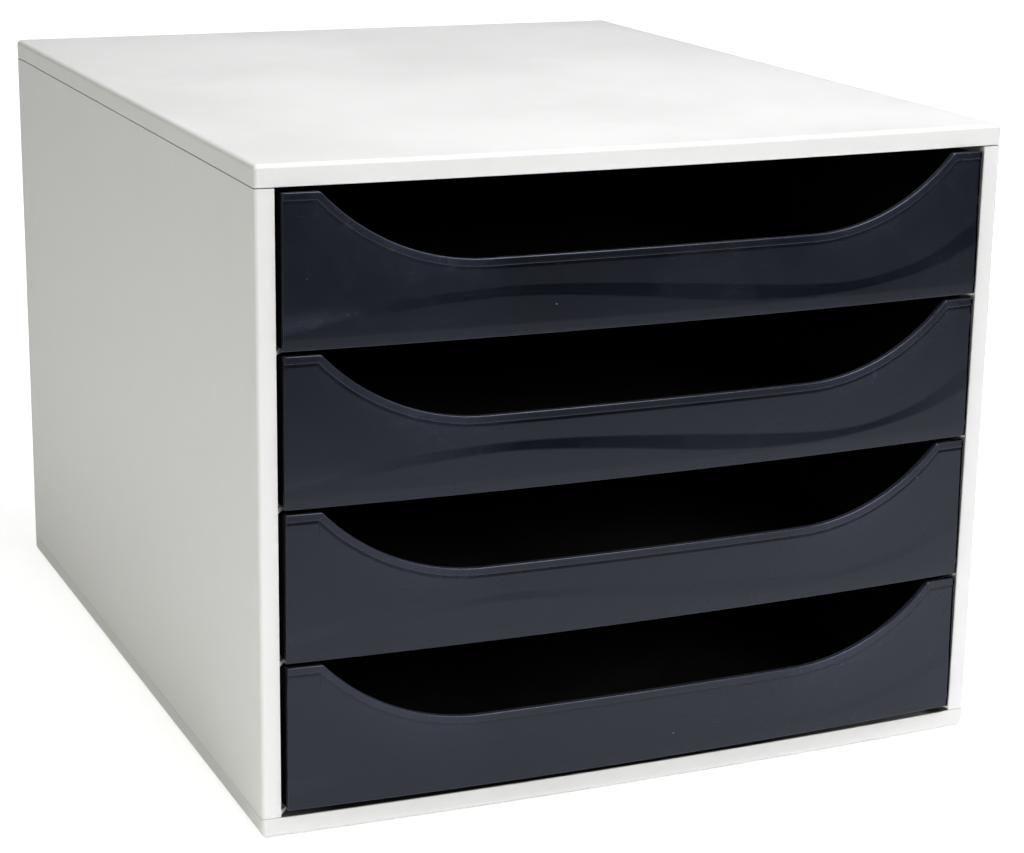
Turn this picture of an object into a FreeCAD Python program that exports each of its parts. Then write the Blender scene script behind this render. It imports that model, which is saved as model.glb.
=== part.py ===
"""Letter tray stack with drawers: a moulded casing with four open-fronted sliding drawers.

The object stands on four rubber feet. +Z is up and the drawers open towards -Y. The origin is on the
resting plane, in the middle of the whole object's width and depth. All sizes are in millimetres.
"""
import FreeCAD
import Part
import math
import os

# ---- Casing -------------------------------------------------------------------------------------
overall_width = 284.0
casing_depth = 340.0        # from the stiles' front face to the rear face
casing_bow = 3.6            # how far the cover's and the base's front edges bulge ahead of the stiles
cover_skirt = 7.6           # height of the top cover's outer wall
base_skirt = 6.6            # height of the base's outer wall
cover_plate = 2.5           # thickness of the top cover's plate
base_plate = 2.5            # thickness of the base's plate
skirt_wall = 2.2            # thickness of the outer walls of cover and base
panel_wall = 2.4            # thickness of a side panel
stile_width = 7.0           # width of a side panel's front edge, as seen from the front
stile_depth = 4.0
seam = 0.4                  # open seam between a side panel and the cover or base
side_edge_round = 2.0       # long upper edges of the cover
base_edge_round = 3.5       # long lower edges of the base
front_edge_round = 1.5      # outline of the casing's front and rear faces
stile_inner_round = 1.2
fit_gap = 0.2               # clearance between mating pieces of the casing

# ---- Drawer fronts ------------------------------------------------------------------------------
drawer_count = 4
front_height = 52.7
front_gap = 1.7             # between two fronts, and between the top front and the cover
lowest_gap = 2.4            # under the lowest front
front_side_gap = 1.6        # between a front's side edge and the stile
front_stand = 2.2           # how far a front's side edges stand ahead of the stiles
front_bow = 4.8             # how far a front's middle bulges ahead of its side edges
front_wall = 2.4
scoop_depth = 25.2          # how far the finger scoop drops below the front's upper edge
shoulder_width = 12.9       # from a front's side edge to the mouth of its scoop
scoop_radius = 80.0
shoulder_round = 2.5
rim_width = 3.0             # raised band that follows the front's upper outline
panel_recess = 0.45         # how far the upper field lies behind the rim and the lower field
toe_height = 4.0            # height of the sloping toe along the front's lower edge
toe_slope = 0.35            # how far the toe draws back at the lower edge
field_round = 0.5           # corners of the upper field, under the shoulders
rim_round = 0.6             # outer and inner edges of the rim

# The slanted ribbon between the lower and the upper field: (x, height above the front's lower edge).
ribbon_foot = [(-133.4, 6.6), (-90.0, 11.6), (-50.0, 14.2), (0.0, 10.3), (60.0, 5.1), (110.0, 9.6),
               (133.4, 17.8)]
ribbon_crown = [(-133.4, 13.6), (-55.0, 17.6), (0.0, 15.2), (38.0, 11.0), (72.0, 9.1), (104.0, 12.8),
                (133.4, 27.6)]
ribbon_section_count = 25

# ---- Drawer trays -------------------------------------------------------------------------------
tray_wall = 1.8
tray_floor = 1.8
tray_top_drop = 1.0         # how far a tray's upper edge lies below its front's
tray_side_gap = 0.8         # how far a tray's side lies inside the edge of its front
tray_rear_gap = 6.0         # between a closed tray and the rear panel
tray_scoop_drop = 3.5       # how far the tray's own scoop lies below the rim of the front
tray_corner = 5.0           # outer round of the tray's rear corners
tray_floor_round = 1.5
front_seat_gap = 0.1        # between a front and the tray's front wall

peg_radius = 2.5            # pegs that hold a front on its tray
peg_length = 1.6
peg_count = 4
peg_inset = 20.0            # from the front's side edge to the outer pegs
peg_drop = 7.5              # from the scoop's lip down to the middle of the pegs
peg_gap = 0.1

lug_length = 12.0           # stop lugs on a tray's sides
lug_height = 8.0
lug_reach = 4.4
lug_rise = 6.0
travel = 240.0              # how far a drawer opens
stop_gap = 0.5              # left between a stop lug and the stile when a drawer is fully open

# ---- Runners and stiffening of the side panels --------------------------------------------------
runner_thickness = 1.5
runner_reach = 5.5          # how far a runner reaches in beyond the stile's inner edge
runner_lead = 5.5           # slanted lead-in at a runner's front end
gusset_count = 5
gusset_thickness = 1.5
gusset_height = 8.0
gusset_reach = 5.4
gusset_margin = 50.0        # from a runner's ends to its first and last gusset

# ---- Joints inside the casing -------------------------------------------------------------------
tongue_wall = 2.0           # tongues on the side panels that reach inside cover and base
tongue_overlap = 6.0        # height of a tongue along the side panel itself
catch_count = 3
catch_length = 10.0
catch_height = 1.5
catch_reach = 1.2
catch_gap = 0.4
catch_margin = 60.0
rear_panel_wall = 2.2
rear_flange_width = 5.4
rear_rib = 2.0              # inner rib that holds the rear panel in its groove
rear_rib_reach = 3.0
rear_stiffener_count = 3
rear_stiffener_depth = 2.5
stiffener_wall = 1.5
cross_rib_count = 4
cover_rib_height = 3.0
base_rib_height = 2.6
rib_side_margin = 8.0       # from a rib's end to the inner face of the skirt
guide_inset = 3.0           # from a tray's side to the middle of the cover's guide rail above it
guide_gap = 1.2             # between the top tray and the cover's guide rails
guide_start = 66.0          # from the stiles to the front end of a guide rail
guide_rear_margin = 12.0

# ---- Feet ---------------------------------------------------------------------------------------
foot_radius = 7.0
foot_drop = 0.8             # how far a foot stands out of the base
foot_recess = 1.2
foot_gap = 0.1
foot_chamfer = 0.4
foot_side_inset = 20.0
foot_end_inset = 20.0

# ---- Places that follow from the sizes ----------------------------------------------------------
half_width = overall_width / 2
overall_depth = casing_depth + front_stand + front_bow
rear_y = overall_depth / 2
stile_y = rear_y - casing_depth
base_z = foot_drop
base_top = base_z + base_skirt
pitch = front_height + front_gap
lowest_drawer_z = base_top + lowest_gap
cover_bottom = lowest_drawer_z + drawer_count * pitch
overall_height = cover_bottom + cover_skirt
cover_under = overall_height - cover_plate
base_floor = base_z + base_plate
opening_half = half_width - stile_width
panel_inner = half_width - panel_wall
front_half = opening_half - front_side_gap
scoop_half_width = front_half - shoulder_width
front_apex = -overall_depth / 2
front_radius = (front_half ** 2 + front_bow ** 2) / (2 * front_bow)
casing_apex = stile_y - casing_bow
casing_radius = (half_width ** 2 + casing_bow ** 2) / (2 * casing_bow)
tray_half = front_half - tray_side_gap
tray_height = front_height - tray_top_drop
peg_height = front_height - scoop_depth - peg_drop
runner_inner = opening_half - runner_reach
stile_back = stile_y + stile_depth
groove_rear = rear_y - skirt_wall
rear_panel_back = groove_rear - fit_gap
rear_panel_front = rear_panel_back - rear_panel_wall
groove_front = rear_panel_front - fit_gap
inner_rib_front = groove_front - rear_rib
tray_back = rear_panel_front - tray_rear_gap
skirt_inner = half_width - skirt_wall
tongue_outer = skirt_inner - fit_gap
tongue_inner = tongue_outer - tongue_wall

# ---- Allowances for building the shapes ---------------------------------------------------------
OVERLAP = 0.3               # how deep joined features of one piece run into each other
PAST = 1.0                  # how far cutting shapes run past a face
REACH = 400.0               # longer than the object, for shapes that cut right through it
SAME = 0.01                 # lengths closer than this count as equal


def vec(x, y, z):
    """A point or direction."""
    return FreeCAD.Vector(x, y, z)


def block(x0, x1, y0, y1, z0, z1):
    """A box between two opposite corners."""
    return Part.makeBox(x1 - x0, y1 - y0, z1 - z0, vec(x0, y0, z0))


def prism(points, direction):
    """A closed polygon drawn out along a direction."""
    return Part.Face(Part.makePolygon(points + points[:1])).extrude(direction)


def mirrored(shape):
    """The same shape on the other side of the middle plane."""
    return shape.mirror(vec(0, 0, 0), vec(1, 0, 0))


def edges_at(shape, test):
    """The edges whose ends and middle all pass a test on their place."""
    found = []
    for edge in shape.Edges:
        middle = edge.valueAt((edge.FirstParameter + edge.LastParameter) / 2)
        if all(test(point) for point in [v.Point for v in edge.Vertexes] + [middle]):
            found.append(edge)
    return found


def near(a, b):
    """Whether two lengths are the same."""
    return abs(a - b) < SAME


def spread(count, first, last):
    """Evenly spaced places from first to last."""
    if count == 1:
        return [(first + last) / 2]
    return [first + (last - first) * i / (count - 1) for i in range(count)]


def drawer_z(number):
    """Height of the lower edge of a drawer's front, where drawer 1 is the top one."""
    return lowest_drawer_z + (drawer_count - number) * pitch


# ---- Casing -------------------------------------------------------------------------------------
def bow_y(x, apex, radius):
    """Where a bowed surface lies at x, from its foremost line and its radius in plan."""
    return apex + radius - math.sqrt(radius ** 2 - x ** 2)


def bowed_block(half, apex, radius, back_y, z0, z1):
    """A box whose front face bulges forward as an arc in plan."""
    corner_y = bow_y(half, apex, radius)
    arc = Part.Arc(vec(-half, corner_y, z0), vec(0, apex, z0), vec(half, corner_y, z0)).toShape()
    sides = Part.makePolygon([vec(half, corner_y, z0), vec(half, back_y, z0), vec(-half, back_y, z0),
                              vec(-half, corner_y, z0)])
    return Part.Face(Part.Wire([arc] + sides.Edges)).extrude(vec(0, 0, z1 - z0))


def casing_shell(z0, z1, plate, long_round, plate_on_top):
    """A shallow tray with a bowed front edge: the cover's form, or the base's the other way up."""
    plate_z = z1 if plate_on_top else z0
    rim_z = z0 if plate_on_top else z1
    body = block(-half_width, half_width, casing_apex - PAST, rear_y, z0, z1)
    long_edges = edges_at(body, lambda p: near(abs(p.x), half_width) and near(p.z, plate_z))
    body = body.makeFillet(long_round, long_edges)
    body = body.common(bowed_block(half_width + PAST, casing_apex, casing_radius, rear_y + PAST, z0, z1))
    ends = edges_at(body, lambda p: near(p.y, bow_y(p.x, casing_apex, casing_radius)) or near(p.y, rear_y))
    body = body.makeFillet(front_edge_round, [e for e in ends if not edges_at(e, lambda p: near(p.z, rim_z))])
    inner0 = z0 - PAST if plate_on_top else z0 + plate
    inner1 = z1 - plate if plate_on_top else z1 + PAST
    hollow = bowed_block(skirt_inner, casing_apex + skirt_wall, casing_radius - skirt_wall,
                         rear_y - skirt_wall, inner0, inner1)
    return body.cut(hollow)


def catch_places():
    """Where the snap catches sit along the casing's depth."""
    return spread(catch_count, stile_y + catch_margin, rear_y - catch_margin)


def add_catches(shell, z):
    """Snap catches on the inner faces of both side walls, centred at height z."""
    for y in catch_places():
        catch = block(skirt_inner - catch_reach, skirt_inner + OVERLAP, y - catch_length / 2,
                      y + catch_length / 2, z - catch_height / 2, z + catch_height / 2)
        shell = shell.fuse([catch, mirrored(catch)])
    return shell


def cross_ribs(shell, z0, z1):
    """Stiffening ribs across a plate, clear of the walls and tongues."""
    half = skirt_inner - rib_side_margin
    places = spread(cross_rib_count + 2, stile_y, rear_y)[1:-1]
    ribs = [block(-half, half, y - stiffener_wall / 2, y + stiffener_wall / 2, z0, z1) for y in places]
    return shell.fuse(ribs)


def cover_catch_z():
    """Height of the catches in the top cover's skirt."""
    return (cover_bottom + cover_under) / 2


def base_catch_z():
    """Height of the catches in the base's skirt."""
    return (base_floor + base_top) / 2


def top_cover():
    """The casing's lid: a plate with a skirt, ribs, guide rails for the top drawer, and catches."""
    cover = casing_shell(cover_bottom, overall_height, cover_plate, side_edge_round, True)
    cover = cross_ribs(cover, cover_under - cover_rib_height, cover_under + OVERLAP)
    rail_x = tray_half - guide_inset
    rail = block(rail_x - stiffener_wall / 2, rail_x + stiffener_wall / 2, stile_y + guide_start,
                 tray_back - guide_rear_margin, drawer_z(1) + tray_height + guide_gap, cover_under + OVERLAP)
    cover = cover.fuse([rail, mirrored(rail)])
    return add_catches(cover, cover_catch_z()).removeSplitter()


def base_tray():
    """The casing's floor: a plate with an upturned skirt, ribs, catches and four recesses for the feet."""
    base = casing_shell(base_z, base_top, base_plate, base_edge_round, False)
    base = cross_ribs(base, base_floor - OVERLAP, base_floor + base_rib_height)
    for x, y in foot_places():
        base = base.cut(Part.makeCylinder(foot_radius + foot_gap, foot_recess, vec(x, y, base_z)))
    return add_catches(base, base_catch_z()).removeSplitter()


def tongue(z0, z1, catch_z):
    """A strip inside the side panel that plugs into a skirt, with a window for each catch."""
    strip = block(tongue_inner, tongue_outer, stile_back - OVERLAP, inner_rib_front + OVERLAP, z0, z1)
    for y in catch_places():
        half_length = catch_length / 2 + catch_gap
        half_height = catch_height / 2 + catch_gap
        strip = strip.cut(block(tongue_inner - PAST, tongue_outer + PAST, y - half_length, y + half_length,
                                catch_z - half_height, catch_z + half_height))
    return strip


def runner(top_z):
    """A shelf along the side panel that a drawer slides on, with a slanted lead-in at its front end."""
    outer = panel_inner + OVERLAP
    start = opening_half + stile_inner_round
    lead_y = stile_y + stile_inner_round
    back_y = inner_rib_front + OVERLAP
    points = [vec(outer, stile_y, 0), vec(start, stile_y, 0), vec(opening_half, lead_y, 0),
              vec(runner_inner, lead_y + runner_lead, 0), vec(runner_inner, back_y, 0), vec(outer, back_y, 0)]
    shelf = prism(points, vec(0, 0, runner_thickness))
    shelf.translate(vec(0, 0, top_z - runner_thickness))
    return shelf


def gussets(top_z):
    """Small triangles that brace a runner from below."""
    z = top_z - runner_thickness + OVERLAP
    outer = panel_inner + OVERLAP
    tip = panel_inner - gusset_reach
    points = [vec(outer, 0, z), vec(outer, 0, z - gusset_height), vec(panel_inner, 0, z - gusset_height),
              vec(tip, 0, z - OVERLAP), vec(tip, 0, z)]
    shapes = []
    for y in spread(gusset_count, stile_y + gusset_margin, inner_rib_front - gusset_margin):
        brace = prism(points, vec(0, gusset_thickness, 0))
        brace.translate(vec(0, y - gusset_thickness / 2, 0))
        shapes.append(brace)
    return shapes


def right_side_panel():
    """The right wall: skin, front stile, rear flange, runners, and the tongues that join cover and base."""
    z0 = base_top + seam
    z1 = cover_bottom - seam
    skin = block(panel_inner, half_width, stile_y, rear_y, z0, z1)
    stile = block(opening_half, half_width, stile_y, stile_back, z0, z1)
    flange = block(half_width - rear_flange_width, half_width, groove_rear, rear_y, z0, z1)
    wall = skin.fuse([stile, flange]).removeSplitter()
    ends = (stile_y, rear_y)
    outer_edges = edges_at(wall, lambda p: near(p.x, half_width) and any(near(p.y, y) for y in ends))
    wall = wall.makeFillet(front_edge_round, [e for e in outer_edges if e.Length > pitch])
    inner_edges = edges_at(wall, lambda p: near(p.x, opening_half) and near(p.y, stile_y))
    wall = wall.makeFillet(stile_inner_round, inner_edges)
    groove_rib = block(panel_inner - rear_rib_reach, panel_inner + OVERLAP, inner_rib_front, groove_front,
                       z0, z1)
    features = [groove_rib, tongue(z1 - tongue_overlap, cover_under, cover_catch_z()),
                tongue(base_floor, z0 + tongue_overlap, base_catch_z())]
    for number in range(1, drawer_count + 1):
        features.append(runner(drawer_z(number)))
        if number < drawer_count:
            features += gussets(drawer_z(number))
    return wall.fuse(features).removeSplitter()


def left_side_panel():
    """The left wall, the right one's mirror image."""
    return mirrored(right_side_panel())


def rear_panel():
    """The rear wall, which sits in the side panels' grooves and inside the two skirts."""
    half = panel_inner - fit_gap
    z0 = base_floor + fit_gap
    z1 = cover_under - fit_gap
    panel = block(-half, half, rear_panel_front, rear_panel_back, z0, z1)
    span = half - rib_side_margin
    for x in spread(rear_stiffener_count + 2, -span, span)[1:-1]:
        panel = panel.fuse(block(x - stiffener_wall / 2, x + stiffener_wall / 2,
                                 rear_panel_front - rear_stiffener_depth, rear_panel_front + OVERLAP,
                                 lowest_drawer_z, cover_bottom))
    return panel.removeSplitter()


def foot_places():
    """The middles of the four feet: front left, front right, rear left, rear right."""
    x = half_width - foot_side_inset
    return [(-x, stile_y + foot_end_inset), (x, stile_y + foot_end_inset),
            (-x, rear_y - foot_end_inset), (x, rear_y - foot_end_inset)]


def foot(x, y):
    """A round rubber pad seated in its recess in the base."""
    pad = Part.makeCylinder(foot_radius, foot_recess + foot_drop, vec(x, y, 0))
    return pad.makeChamfer(foot_chamfer, edges_at(pad, lambda p: near(p.z, 0) and not near(p.x, x)))


# ---- Drawers ------------------------------------------------------------------------------------
def front_y(x, behind=0.0):
    """Where a drawer front's outer surface lies at x, or a surface a given distance behind it."""
    return bow_y(x, front_apex + behind, front_radius - behind)


def bowed_layer(half, behind, back_y, z0, z1):
    """A solid from the surface that lies behind a drawer's outer front surface, back to back_y."""
    return bowed_block(half, front_apex + behind, front_radius - behind, back_y, z0, z1)


def height_along(knots, x):
    """Height of a smooth line through the knots at x; it goes on straight past its ends."""
    count = len(knots)
    slopes = []
    for i in range(count):
        before = knots[max(i - 1, 0)]
        after = knots[min(i + 1, count - 1)]
        slopes.append((after[1] - before[1]) / (after[0] - before[0]))
    if x <= knots[0][0]:
        return knots[0][1] + slopes[0] * (x - knots[0][0])
    if x >= knots[-1][0]:
        return knots[-1][1] + slopes[-1] * (x - knots[-1][0])
    i = max(k for k in range(count - 1) if knots[k][0] <= x)
    span = knots[i + 1][0] - knots[i][0]
    t = (x - knots[i][0]) / span
    return (knots[i][1] * (2 * t ** 3 - 3 * t ** 2 + 1) + slopes[i] * span * (t ** 3 - 2 * t ** 2 + t)
            + knots[i + 1][1] * (3 * t ** 2 - 2 * t ** 3) + slopes[i + 1] * span * (t ** 3 - t ** 2))


def silhouette(drop, rounding):
    """The front's outline drawn through its thickness, with its upper outline moved in by drop."""
    top = front_height - drop
    lip = top - scoop_depth
    centre_z = front_height - scoop_depth + scoop_radius
    tangent_x = scoop_half_width - math.sqrt(scoop_radius ** 2 - (scoop_radius - scoop_depth) ** 2)
    radius = scoop_radius + drop
    shoulder_x = tangent_x + math.sqrt(radius ** 2 - (centre_z - top) ** 2)
    half_angle = math.atan2(shoulder_x - tangent_x, centre_z - top) / 2
    mid_x = tangent_x + radius * math.sin(half_angle)
    mid_z = centre_z - radius * math.cos(half_angle)
    y = -REACH / 2
    right_arc = Part.Arc(vec(shoulder_x, y, top), vec(mid_x, y, mid_z), vec(tangent_x, y, lip)).toShape()
    left_arc = Part.Arc(vec(-tangent_x, y, lip), vec(-mid_x, y, mid_z), vec(-shoulder_x, y, top)).toShape()
    lower = Part.makePolygon([vec(-shoulder_x, y, top), vec(-front_half, y, top), vec(-front_half, y, 0),
                              vec(front_half, y, 0), vec(front_half, y, top), vec(shoulder_x, y, top)])
    lip_line = Part.makeLine(vec(tangent_x, y, lip), vec(-tangent_x, y, lip))
    solid = Part.Face(Part.Wire(lower.Edges + [right_arc, lip_line, left_arc])).extrude(vec(0, REACH, 0))
    shoulders = edges_at(solid, lambda p: near(abs(p.x), shoulder_x) and near(p.z, top))
    return solid.makeFillet(rounding, [e for e in shoulders if e.Length > REACH / 2])


def front_slab():
    """The front's wall before its outline is cut: sloping toe, lower field, slanted ribbon, upper field."""
    sections = []
    for x in spread(ribbon_section_count, -front_half - PAST, front_half + PAST):
        y = front_y(x)
        field_y = y + panel_recess
        inner_y = front_y(x, front_wall)
        points = [vec(x, y + toe_slope, 0), vec(x, y, toe_height), vec(x, y, height_along(ribbon_foot, x)),
                  vec(x, field_y, height_along(ribbon_crown, x)), vec(x, field_y, front_height),
                  vec(x, inner_y, front_height), vec(x, inner_y, 0)]
        sections.append(Part.makePolygon(points + points[:1]))
    return Part.makeLoft(sections, True, False)


def rim_edges(front, outline, behind):
    """The edges along the front's upper outline on one of its bowed surfaces."""
    found = []
    for edge in edges_at(front, lambda p: near(p.y, front_y(p.x, behind))):
        middle = edge.valueAt((edge.FirstParameter + edge.LastParameter) / 2)
        on_outline = outline.Shells[0].distToShape(Part.Vertex(middle))[0] < SAME
        if on_outline and middle.z > SAME and abs(middle.x) < front_half - SAME:
            found.append(edge)
    return found


def drawer_front(number):
    """A drawer's glossy front with its finger scoop, raised rim, ribbon and the pegs at its back."""
    outline = silhouette(0, shoulder_round)
    field = silhouette(rim_width, field_round)
    half = front_half + PAST
    top = front_height + PAST
    band = bowed_layer(half, 0, REACH / 2, -PAST, top)
    band = band.cut(bowed_layer(half, panel_recess + OVERLAP, REACH / 2, -PAST, top))
    rim = band.common(outline).cut(field)
    front = front_slab().common(outline).fuse(rim).removeSplitter()
    edges = rim_edges(front, outline, 0) + rim_edges(front, outline, front_wall)
    front = front.makeFillet(rim_round, edges)
    for x, z in peg_places():
        root = vec(x, front_y(x, front_wall) - OVERLAP, z)
        front = front.fuse(Part.makeCylinder(peg_radius, peg_length + OVERLAP, root, vec(0, 1, 0)))
    front.translate(vec(0, 0, drawer_z(number)))
    return front


def peg_places():
    """Where the pegs sit: (x, height above the front's lower edge)."""
    outer = front_half - peg_inset
    return [(x, peg_height) for x in spread(peg_count, -outer, outer)]


def tray_hollow():
    """The space inside a tray, with rounded lower and rear edges."""
    behind = front_wall + front_seat_gap + tray_wall
    half = tray_half - tray_wall
    back_y = tray_back - tray_wall
    inside = bowed_layer(half, behind, back_y, tray_floor, tray_height + pitch)
    corners = edges_at(inside, lambda p: near(abs(p.x), half) and near(p.y, back_y))
    inside = inside.makeFillet(tray_corner - tray_wall, corners)
    return inside.makeFillet(tray_floor_round, edges_at(inside, lambda p: near(p.z, tray_floor)))


def stop_lug():
    """The lug on a tray's right side that meets the back of the stile when the drawer is open."""
    y = stile_back + stop_gap + travel
    return block(tray_half - OVERLAP, tray_half + lug_reach, y, y + lug_length,
                 lug_rise, lug_rise + lug_height)


def drawer_tray(number):
    """A drawer's tray, which slides on the runners and carries the front on pegs."""
    body = bowed_layer(tray_half, front_wall + front_seat_gap, tray_back, 0, tray_height)
    corners = edges_at(body, lambda p: near(abs(p.x), tray_half) and near(p.y, tray_back))
    body = body.makeFillet(tray_corner, corners)
    body = body.cut(tray_hollow())
    scoop_back = front_y(tray_half, front_wall + front_seat_gap + tray_wall)
    scoop = block(-front_half, front_half, -REACH / 2, scoop_back, 0, front_height)
    scoop = scoop.cut(silhouette(tray_scoop_drop, field_round))
    body = body.cut(scoop)
    for x, z in peg_places():
        start = vec(x, front_y(x, front_wall) - PAST, z)
        through = PAST + front_seat_gap + tray_wall + PAST
        body = body.cut(Part.makeCylinder(peg_radius + peg_gap, through, start, vec(0, 1, 0)))
    lug = stop_lug()
    body = body.fuse([lug, mirrored(lug)]).removeSplitter()
    body.translate(vec(0, 0, drawer_z(number)))
    return body


# ---- Output -------------------------------------------------------------------------------------
def all_pieces():
    """Every piece by its name."""
    pieces = {"top_cover": top_cover(), "base_tray": base_tray(), "left_side_panel": left_side_panel(),
              "right_side_panel": right_side_panel(), "rear_panel": rear_panel()}
    for number in range(1, drawer_count + 1):
        pieces["drawer_tray_%d" % number] = drawer_tray(number)
        pieces["drawer_front_%d" % number] = drawer_front(number)
    names = ["foot_front_left", "foot_front_right", "foot_rear_left", "foot_rear_right"]
    for name, (x, y) in zip(names, foot_places()):
        pieces[name] = foot(x, y)
    return pieces


os.makedirs("parts", exist_ok=True)
for name, shape in all_pieces().items():
    box = shape.optimalBoundingBox()
    extent = (box.XMin, box.XMax, box.YMin, box.YMax, box.ZMin, box.ZMax)
    print("%-18s solids %d, valid %s, volume %.0f" % (name, len(shape.Solids), shape.isValid(), shape.Volume),
          "x %.1f..%.1f  y %.1f..%.1f  z %.1f..%.1f" % extent)
    shape.exportStep("parts/%s.step" % name)
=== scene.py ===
"""Letter tray stack with drawers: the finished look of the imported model, in its own frame.

The object is a satin white casing with four glossy anthracite drawers on rubber feet. +Z is up, the
drawers open towards -Y, and every length in a mesh is in metres. Sizes are written in millimetres and
turned into metres by MM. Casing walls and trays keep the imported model's forms, with small details made
crisper. The drawer fronts are rebuilt with a dense smooth surface, because their gloss shows every facet,
and the feet get rings.
"""
import logging
import math
from dataclasses import dataclass, field
from enum import Enum

import bmesh
import bpy
from mathutils import Euler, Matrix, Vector


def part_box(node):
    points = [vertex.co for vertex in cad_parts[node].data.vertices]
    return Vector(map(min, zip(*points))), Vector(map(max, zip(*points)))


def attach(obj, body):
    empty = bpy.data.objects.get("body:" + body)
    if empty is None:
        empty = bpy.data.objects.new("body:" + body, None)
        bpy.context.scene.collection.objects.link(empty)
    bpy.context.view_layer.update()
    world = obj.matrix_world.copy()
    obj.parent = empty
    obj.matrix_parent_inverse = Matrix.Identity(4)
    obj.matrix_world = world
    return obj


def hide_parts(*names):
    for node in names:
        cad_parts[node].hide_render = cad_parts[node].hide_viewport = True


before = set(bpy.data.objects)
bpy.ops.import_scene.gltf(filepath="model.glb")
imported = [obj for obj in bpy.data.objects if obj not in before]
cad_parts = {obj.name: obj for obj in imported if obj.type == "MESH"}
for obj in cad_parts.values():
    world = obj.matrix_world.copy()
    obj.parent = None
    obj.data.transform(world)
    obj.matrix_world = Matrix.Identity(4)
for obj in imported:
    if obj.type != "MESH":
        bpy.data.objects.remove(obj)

LOG = logging.getLogger("letter_tray_stack")
MM = 0.001
DRAWER_NUMBERS = (1, 2, 3, 4)
PEG_SIDES = 28
Colour = tuple[float, float, float, float]
Point = tuple[float, float]
Span = tuple[float, float]
Knots = tuple[Point, ...]


def portion(value: float, start: float, end: float) -> float:
    """How far a value has come on the way from start to end, as a share from 0 to 1.

    Args:
        value: The value.
        start: The value that gives 0.
        end: The value that gives 1; it may lie below start.

    Returns:
        The share, held between 0 and 1.
    """
    return min(max((value - start) / (end - start), 0.0), 1.0)


def eased(share: float) -> float:
    """The same share with a soft start and a soft end."""
    return share * share * (3 - 2 * share)


class Body(Enum):
    """The bodies that a piece can ride on."""

    CASE = "case"
    DRAWER = "drawer_%d"


class Slot(Enum):
    """The record's material slots."""

    CASING = "casing"
    FRONT = "front"
    TRAY = "tray"
    FOOT = "foot_rubber"


# ---- Node trees -----------------------------------------------------------------------------------
class NodeBench:
    """Adds nodes to one node tree and joins them."""

    MIX_FACTOR, MIX_FIRST, MIX_SECOND, MIX_RESULT = 0, 6, 7, 2

    def __init__(self, tree: bpy.types.NodeTree) -> None:
        """Takes the tree to work on.

        Args:
            tree: A material's, world's, group's or geometry node tree.
        """
        self.tree = tree

    def add(self, kind: str, inputs: dict | None = None, **settings: object) -> bpy.types.Node:
        """Adds a node.

        Args:
            kind: Blender's name for the type of node.
            inputs: Value or source socket for each input, by the input's name or number.
            **settings: Properties of the node itself.

        Returns:
            The new node.
        """
        node = self.tree.nodes.new(kind)
        for name, value in settings.items():
            setattr(node, name, value)
        for key, value in (inputs or {}).items():
            self.feed(node.inputs[key], value)
        return node

    def feed(self, socket: bpy.types.NodeSocket, value: object) -> None:
        """Gives an input its source socket or its value.

        Args:
            socket: The input.
            value: An output socket to link from, or a plain value.
        """
        if isinstance(value, bpy.types.NodeSocket):
            self.tree.links.new(value, socket)
        else:
            socket.default_value = value

    def math(self, operation: str, *values: object) -> bpy.types.NodeSocket:
        """Adds a Math node.

        Args:
            operation: The node's operation.
            *values: Up to three operands, each a number or a source socket.

        Returns:
            The result's socket.
        """
        return self.add("ShaderNodeMath", dict(enumerate(values)), operation=operation).outputs[0]

    def ramp(self, factor: object, start: float, end: float, low: float = 0.0, high: float = 1.0
             ) -> bpy.types.NodeSocket:
        """Adds a clamped Map Range node with a soft start and a soft end.

        Args:
            factor: The value to map.
            start: The value that gives low.
            end: The value that gives high.
            low: The result at start.
            high: The result at end.

        Returns:
            The result's socket.
        """
        node = self.add("ShaderNodeMapRange", {"Value": factor, "From Min": start, "From Max": end,
                                               "To Min": low, "To Max": high})
        node.interpolation_type = "SMOOTHSTEP"
        return node.outputs["Result"]

    def blend(self, factor: object, first: object, second: object) -> bpy.types.NodeSocket:
        """Adds a colour Mix node.

        Args:
            factor: How much of the second colour shows.
            first: A colour or a source socket.
            second: A colour or a source socket.

        Returns:
            The mixed colour's socket.
        """
        inputs = {self.MIX_FACTOR: factor, self.MIX_FIRST: first, self.MIX_SECOND: second}
        return self.add("ShaderNodeMix", data_type="RGBA", inputs=inputs).outputs[self.MIX_RESULT]

    def noise(self, vector: object, scale: object, detail: float = 2.0, roughness: float = 0.5
              ) -> bpy.types.NodeSocket:
        """Adds a Noise Texture.

        Args:
            vector: Where the texture is read.
            scale: How many features there are in a metre.
            detail: The number of octaves.
            roughness: How much the finer octaves count.

        Returns:
            The noise value's socket.
        """
        return self.add("ShaderNodeTexNoise", {"Vector": vector, "Scale": scale, "Detail": detail,
                                               "Roughness": roughness}).outputs["Fac"]


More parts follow.
